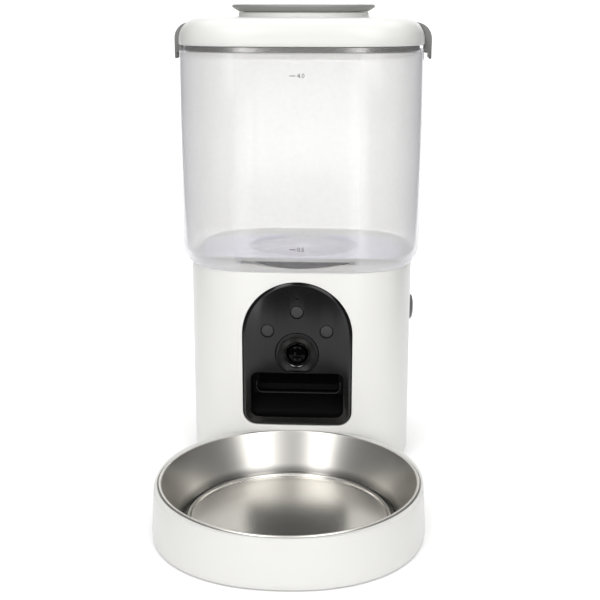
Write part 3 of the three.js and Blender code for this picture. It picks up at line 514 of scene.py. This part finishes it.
# return spring: two closed end coils, open turns between
def coil(name, x0, x1, R, wire, turns, k=36, m=10):
    n = turns * k
    path = []
    for i in range(n + 1):
        t = i / n
        u = min(1.0, max(0.0, (t * turns - 0.8) / (turns - 1.6)))
        lead = wire * 1.02 * (min(t * turns, 0.8) / 0.8 + max(0.0, t * turns - (turns - 0.8)) / 0.8)
        a = 2 * math.pi * t * turns
        path.append(Vector((x0 + wire / 2 + lead + (x1 - x0 - wire - 2.04 * wire) * u, AY + R * math.cos(a), 109 + R * math.sin(a))))
    verts, faces = [], []
    for i, c in enumerate(path):
        a = 2 * math.pi * i / k
        out = Vector((0, math.cos(a), math.sin(a)))
        for j in range(m):
            b_ = 2 * math.pi * j / m
            verts.append(tuple(c + out * (wire / 2 * math.cos(b_)) + Vector((wire / 2 * math.sin(b_), 0, 0))))
    for i in range(n):
        for j in range(m):
            faces.append((i * m + j, i * m + (j + 1) % m, (i + 1) * m + (j + 1) % m, (i + 1) * m + j))
    faces.append(tuple(range(m))); faces.append(tuple(n * m + j for j in range(m))[::-1])
    return make(name, verts, faces)
spring = coil('return_spring', 71.0, 77.6, 6.0, 0.6, 5)
stand(spring, 'button_spring', SHAFT, 50)
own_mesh(spring)

# ------------------------------------------------------------------ tank
def arcp(cx, cz, r, a0, a1, k):
    return [(cx + r * math.cos(rad(a0 + (a1 - a0) * i / k)), cz + r * math.sin(rad(a0 + (a1 - a0) * i / k))) for i in range(k + 1)]
hx, hz, hr = 71.4, 168.1, 19.0
hprof = [(42.6, 155.4), (85.0, 155.4)] + arcp(hx, hz, hr, -42, 0, 12) + [(89.7, 311.9), (89.5, 312.5), (89.1, 312.7), (87.5, 312.7), (87.1, 312.5), (86.9, 311.9)] + arcp(hx, hz, hr - 2.8, 0, -38.6, 10) + [(42.6, 158.0)]
hp = lathe('clear_tank', [], N_SEC) if False else None
verts, rings = [], []
SEG = 256
for r, z in hprof:
    w = min(1.0, max(0.0, (r - 44.0) / 30.0)); idx = []
    for i in range(SEG):
        t = 2 * math.pi * i / SEG
        q = r * (1 + (se(t, N_SEC) - 1) * w)
        idx.append(len(verts)); verts.append((q * math.cos(t), q * math.sin(t) + AY, z))
    rings.append(idx)
faces = []
for a, b in list(zip(rings[:-1], rings[1:])) + [(rings[-1], rings[0])]:
    for i in range(SEG):
        j = (i + 1) % SEG; faces.append((a[i], a[j], b[j], b[i]))
hp = make('clear_tank', verts, faces)
stand(hp, 'hopper', CLEAR, 30)
hp.data.materials.append(CLEAR_IN)
for pl in hp.data.polygons:            # the skin that faces the food takes the second slot
    c, n = pl.center, pl.normal
    q = math.hypot(c.x, c.y - AY * MM)
    face = (n.x * c.x + n.y * (c.y - AY * MM)) / q - (n.z if c.z < 0.2 else 0.0)
    pl.material_index = 0 if face > 0 or c.z > 0.3118 else 1

# level marks: a dash and a plain numeral, printed on the tank front
def mark(name, text, z):
    cu = bpy.data.curves.new(name, 'FONT'); cu.body = text; cu.size = 0.0042; cu.align_x = 'LEFT'; cu.align_y = 'CENTER'
    cu.extrude = 0.00002; cu.resolution_u = 4
    to = bpy.data.objects.new(name, cu); C.objects.link(to)
    bpy.context.view_layer.update()
    me = bpy.data.meshes.new_from_object(to.evaluated_get(bpy.context.evaluated_depsgraph_get()))
    bpy.data.objects.remove(to)
    bm = bmesh.new(); bm.from_mesh(me)
    bmesh.ops.translate(bm, verts=bm.verts, vec=(0.0005, 0, 0))
    d = bmesh.ops.create_cube(bm, size=1.0)['verts']
    bmesh.ops.scale(bm, verts=d, vec=(0.0042, 0.00055, 0.00004)); bmesh.ops.translate(bm, verts=d, vec=(-0.0028, 0, 0))
    bmesh.ops.rotate(bm, verts=bm.verts, cent=(0, 0, 0), matrix=Matrix.Rotation(rad(90), 3, 'X'))
    a = 90.4 - (90.4 - 89.7) * (z - 168.1) / (312.0 - 168.1)
    bmesh.ops.translate(bm, verts=bm.verts, vec=(0, (AY - a) * MM - 0.00003, z * MM))
    bm.to_mesh(me); bm.free()
    o = bpy.data.objects.new(name, me); C.objects.link(o)
    return stand(o, 'hopper', INK, 30, extra=True)
mark('level_high', '4.0', 293.7)
mark('level_low', '0.5', 172.9)

# ------------------------------------------------------------------ lid
la, lz, lr = 74.4, 316.3, 15.5
lprof = [(0, 331.8)] + [(la * i / 6, 331.8) for i in range(1, 6)] + arcp(la, lz, lr, 90, 0, 16) + [(89.9, 313.5), (89.7, 313.1), (89.4, 313.0), (84.6, 313.0), (84.5, 312.8), (84.5, 304.9), (84.2, 304.5), (82.6, 304.5), (82.3, 304.8), (82.3, lz + 1)] + arcp(la - 5, lz + 0.5, lr - 3, 8, 90, 8) + [(0, 329.3)]
ld = lathe('lid_shell', lprof, N_SEC, 256)
LP, LB = (84.6, 326.1), 2.25          # latch hinge axis (x, z) and barrel radius
cut = []
for s in (1, -1):
    cut.append(lathe('c', [(0, -17.4), (LB + 0.55, -17.4), (LB + 0.55, 17.4), (0, 17.4)], 2, 48, axis='-Y', at=(s * LP[0], AY, LP[1])))
pad = lathe('c', [(0, 314.2), (89.2, 314.2)] + arcp(la, lz, lr - 0.7, 0, 90, 12) + [(0, 331.1)], N_SEC, 200)
boolean(pad, [join('c', [box('c', *(sorted((s * 78, s * 95))), AY - 19.5, AY + 19.5, 300, 340) for s in (1, -1)])], 'INTERSECT')
boolean(ld, [pad], 'UNION')
boolean(ld, cut + [lathe('c', [(0, 320), (45.0, 320), (45.0, 345), (0, 345)], 2, 128)])
bevel(ld, 0.4, 2, 55)
nk = lathe('neck', ease([(45.0, 329.9), (50.3, 329.9), (50.3, 331.75), (48.7, 332.3, 1.0), (48.7, 335.4, 0.6), (45.0, 335.4, 0.5), (45.0, 329.9)]), 2, 160, closed=False)
ears = []
for s in (1, -1):
    for y in (-11.7, 11.7):
        ears.append(lathe('e', [(0, -1.5), (LB - 0.1, -1.5), (LB - 0.1, 1.5), (0, 1.5)], 2, 40, axis='-Y', at=(s * LP[0], AY + y, LP[1])))
        ears.append(box('e', *(sorted((s * 80.5, s * LP[0]))), AY + y - 1.5, AY + y + 1.5, 324.4, 326.4))
ld = join('lid_shell', [ld] + ears)
stand(ld, 'lid', WHITE, 30)
# the neck's lighter white is painted light against the cap's shadow
stand(nk, 'lid', NECK_WHITE_PAINTED_LIGHT, 30, extra=True)
sl = lathe('seal_band', ease([(84.8, 308.9), (86.5, 308.9, 0.3), (86.5, 312.6, 0.3), (84.8, 312.6), (84.8, 308.9)]), N_SEC, 200)
stand(sl, 'lid_seal', SEAL)

# ------------------------------------------------------------------ latches
lpts = [(90.3, 306.5)] + arcp(la, lz, lr + 0.35, 0, 37, 12) + arcp(LP[0], LP[1], LB, -10, -265, 26) + arcp(83.4, 316.5, 11.85, 80, 0, 18) + \
       [(95.25, 312), (95.25, 303.2), (95.1, 302.5), (94.75, 302.0), (94.3, 301.8), (93.9, 302.0), (93.65, 302.5), (93.6, 303.2), (93.6, 306.5)]
for nm, s in (('right', 1), ('left', -1)):
    lt = prism('side_latch_' + nm, [(s * x, z) for x, z in lpts], AY - 17, AY + 17)
    cuts = []
    for y in (-11.7, 11.7):
        cuts.append(lathe('c', [(0, -1.9), (LB + 0.35, -1.9), (LB + 0.35, 1.9), (0, 1.9)], 2, 40, axis='-Y', at=(s * LP[0], AY + y, LP[1])))
    cuts.append(lathe('c', [(0, -16.3), (1.07, -16.3), (1.07, 16.3), (0, 16.3)], 2, 24, axis='-Y', at=(s * LP[0], AY, LP[1])))
    boolean(lt, cuts)
    bevel(lt, 0.4, 3, 50)
    stand(lt, 'latch_' + nm, LATCHG, 34)

# ------------------------------------------------------------------ cap
cp = lathe('dry_cap', ease([(0, 333.2), (40.4, 333.2), (40.4, 331.5, 0.3), (42.4, 331.5, 0.3), (42.4, 336.8), (47.0, 336.8), (47.0, 335.7), (48.0, 335.7, 0.4), (52.9, 338.5, 0.8), (53.4, 339.3, 0.4), (53.4, 340.3, 0.5), (52.4, 341.0, 0.6), (41.0, 341.0, 1.2), (38.6, 335.4, 1.6), (0, 335.4)]), 2, 180)
gb = prism('g', rrect(-38.8, 38.8, AY - 4.5, AY + 4.5, 4.4), 334.0, 340.5, 'Z')
bevel(gb, 1.2, 4, 60)
boolean(cp, [gb], 'UNION')
stand(cp, 'desiccant_cap', GREY, 32)

# ------------------------------------------------------------------ bowl and tray
tr = lathe('ring_tray', ease([(0, 0.8), (91.0, 0.8, 1.0), (91.3, 4.0, 6), (89.5, 33.0), (89.3, 34.0, 0.8), (87.9, 34.0, 0.35), (87.9, 32.8, 0.15), (85.3, 32.8, 0.3), (81.9, 25.4, 3), (81.9, 3.4, 0.5), (0, 3.4)]), 2, 256, cy=BY)
me = tr.data
for v in me.vertices:      # outer wall goes from the round well to a slightly squared outline
    x, y = v.co.x / MM, v.co.y / MM - BY
    r = math.hypot(x, y)
    if r > 88.0 or (v.co.z < 0.0033 and r > 20):
        w = min(1.0, max(0.0, (r - 88.0) / 1.2)) if v.co.z > 0.0033 else min(1.0, r / 91.0)
        k = 1 + (se(math.atan2(y, x), 2.2) - 1) * w
        v.co.x, v.co.y = x * k * MM, (y * k + BY) * MM
tongue = box('t', -30, 30, AY - 98, AY - 62, 0.8, 2.6)
boolean(tr, [lathe('c', [(0, -2), (84.5, -2), (84.5, 60), (0, 60)], N_SEC, 240)])
boolean(tr, [lathe('c', [(0, 0), (6.3, 0), (6.3, 1.9), (0, 1.9)], 2, 40, cx=x, cy=AY + y) for x, y in ((-58, -196), (58, -196), (0, -244))])
tr = join('ring_tray', [tr, tongue])
stand(tr, 'bowl_tray', TRAY_WHITE_PAINTED_SHADE, 34)
dish = lambda r, z0, dz: (r, z0 + dz * (r / 66.0) ** 2)
sb = lathe('bowl_steel', ease([dish(0, 5.5, -1.5), dish(22, 5.5, -1.5), dish(44, 5.5, -1.5), dish(62, 5.5, -1.5), (69.2, 4.6, 2), (73.2, 7.4, 3), (84.9, 33.0, 1.0), (87.3, 33.2, 0.3), (87.5, 34.0, 0.5), (86.8, 34.7, 0.6), (85.2, 34.5, 1.2),
                               (73.2, 9.2, 5.0), (71.4, 5.6, 0.9), (69.6, 5.6, 0.8), (68.6, 8.3, 1.0), (66.9, 8.3, 1.0), (66.2, 6.3, 0.4)] + [dish(r, 7.4, -1.2) for r in (65.2, 62, 56, 50, 44, 38, 32, 26, 20, 14, 8, 0)], k=7), 2, 256, cy=BY)
boolean(sb, [lathe('c', [(0, 20), (84.4, 20), (84.4, 50), (0, 50)], N_SEC, 240)])
stand(sb, 'steel_bowl', STEEL, 40)

# ------------------------------------------------------------------ floor, light, camera
def sweep():
    v, f = [], []
    prof = [(-0.50, -0.004), (-0.50, 0.0)] + [(-0.3 + 0.29 * i, 0.0) for i in range(11)] + [(2.6 + 1.2 * math.sin(rad(a)), 1.2 - 1.2 * math.cos(rad(a))) for a in range(6, 91, 6)] + [(3.8, 3.2)]
    for y, z in prof:
        v += [(-0.31 - 0.36 * (y + 0.5), y, z), (0.25 + 0.28 * (y + 0.5), y, z)]
    for i in range(len(prof) - 1):
        f.append((2 * i, 2 * i + 1, 2 * i + 3, 2 * i + 2))
    me = bpy.data.meshes.new('studio_sweep'); me.from_pydata(v, [], f); me.shade_smooth()
    o = bpy.data.objects.new('studio_sweep', me); C.objects.link(o)
    m, nt, b = nodes_of('paper_sweep'); vv = coords(nt)
    nt.links.new(mix(nt, mrange(nt, noise(nt, vv, 3, 3), 0, 1), (0.90, 0.90, 0.90), (0.92, 0.92, 0.92)), b.inputs['Base Color'])
    b.inputs['Roughness'].default_value = 0.9; b.inputs['Specular IOR Level'].default_value = 0.1
    o.data.materials.append(m)
    return o
paper = sweep()

w = bpy.data.worlds.new('studio'); bpy.context.scene.world = w; w.use_nodes = True
bg = w.node_tree.nodes['Background']; bg.inputs[0].default_value = (1, 1, 1, 1); bg.inputs[1].default_value = 0.17

def area(name, loc, aim, sx, sy, radiance, spec=1.0):
    """rectangular soft light given by how bright its face is"""
    l = bpy.data.lights.new(name, 'AREA'); l.shape = 'RECTANGLE'; l.size = sx; l.size_y = sy
    l.energy = radiance * math.pi * sx * sy; l.specular_factor = spec
    o = bpy.data.objects.new(name, l); C.objects.link(o); o.location = loc
    o.rotation_euler = (Vector(aim) - Vector(loc)).to_track_quat('-Z', 'Y').to_euler()
    return o
MID = (0, 0.05, 0.17)
def polar(az, el, d, base=(0, -0.085, 0.02)):
    a, e = rad(az), rad(el)
    return (base[0] + math.sin(a) * math.cos(e) * d, base[1] - math.cos(a) * math.cos(e) * d, base[2] + math.sin(e) * d)
area('strip_left', (-0.72, -1.85, 0.0), (0, 0, 0.1), 0.47, 1.3, 3.05)
sr = area('strip_right', (0.755, -1.85, 0.0), (0, 0, 0.1), 0.54, 1.3, 2.5)
kl = area('key_left', polar(-31, 40, 2.0), MID, 0.66, 1.5, 3.2)
kr = area('key_right', polar(38, 40, 2.0), MID, 0.92, 1.5, 2.35)
hl_ = area('high_left', polar(-50, 64, 2.2), MID, 1.0, 1.0, 2.8)
hr_ = area('high_right', polar(52, 64, 2.2), MID, 1.0, 1.0, 2.3)
sf = area('soft_front', polar(30, 34, 2.4), MID, 2.0, 1.0, 0.32)
low = area('low_front', polar(-1, 11, 2.4), MID, 1.55, 0.6, 2.05)
rest = bpy.data.collections.new('all_but_glossy_trim'); rest.objects.link(ln); rest.objects.link(sl)
for k in rest.collection_objects: k.light_linking.link_state = 'EXCLUDE'
low.light_linking.receiver_collection = rest
glass = bpy.data.collections.new('all_but_lens'); glass.objects.link(ln)
for k in glass.collection_objects: k.light_linking.link_state = 'EXCLUDE'
for k in (sr, kl, kr, sf): k.light_linking.receiver_collection = glass
upper = bpy.data.collections.new('all_but_shell'); upper.objects.link(sh)
for k in upper.collection_objects: k.light_linking.link_state = 'EXCLUDE'
for k in (hl_, hr_): k.light_linking.receiver_collection = upper
lift = area('shell_front', polar(-7, 22, 2.2), (0, 0, 0.08), 1.2, 0.8, 3.4)     # frontal fill of the shell alone
fill = bpy.data.collections.new('shell_only'); fill.objects.link(sh)
lift.light_linking.receiver_collection = fill
# the light that the milky tank scatters down on the portion wheel
well = area('wheel_glow', (0, AY * MM, 1.0), (0, AY * MM, 0.13), 0.5, 0.5, 2.6)
wheel = bpy.data.collections.new('wheel_only')
for k in WHEEL_PARTS: wheel.objects.link(k)
well.light_linking.receiver_collection = wheel
well.light_linking.blocker_collection = wheel
area('top', (0, 1.25, 2.2), (0, 1.25, 0), 2.8, 2.2, 1.8)
area('back_wash', (0, 1.9, 1.9), (0, 3.6, 0.3), 3.6, 0.8, 5.0)
# evens out the paper; it lights the paper alone
even = area('paper_light', (0, 0.6, 2.6), (0, 0.6, 0), 3.0, 3.0, 1.0)
only = bpy.data.collections.new('paper_only'); only.objects.link(paper)
even.light_linking.receiver_collection = only
block = bpy.data.collections.new('paper_block'); block.objects.link(paper)
even.light_linking.blocker_collection = block

cam = bpy.data.cameras.new('cam'); co = bpy.data.objects.new('cam', cam); C.objects.link(co)
F_PX, CH, CP, CR = 1125.2, 0.0573, 0.2562, 0.0008
cam.sensor_width = 36.0; cam.lens = 36.0 * F_PX / 600.0; cam.clip_start = 0.05; cam.clip_end = 30
fwd = Vector((-math.sin(CH) * math.cos(CP), math.cos(CH) * math.cos(CP), -math.sin(CP)))
rgt = Vector((math.cos(CH), math.sin(CH), 0)); up = rgt.cross(fwd)
r2 = rgt * math.cos(CR) + up * math.sin(CR); u2 = up * math.cos(CR) - rgt * math.sin(CR)
co.matrix_world = Matrix(((r2.x, u2.x, -fwd.x, 0.0472), (r2.y, u2.y, -fwd.y, -0.8678 + AY * MM), (r2.z, u2.z, -fwd.z, 0.3403), (0, 0, 0, 1)))
bpy.context.scene.camera = co
bpy.context.scene.view_settings.view_transform = 'Standard'
bpy.context.scene.view_settings.look = 'None'
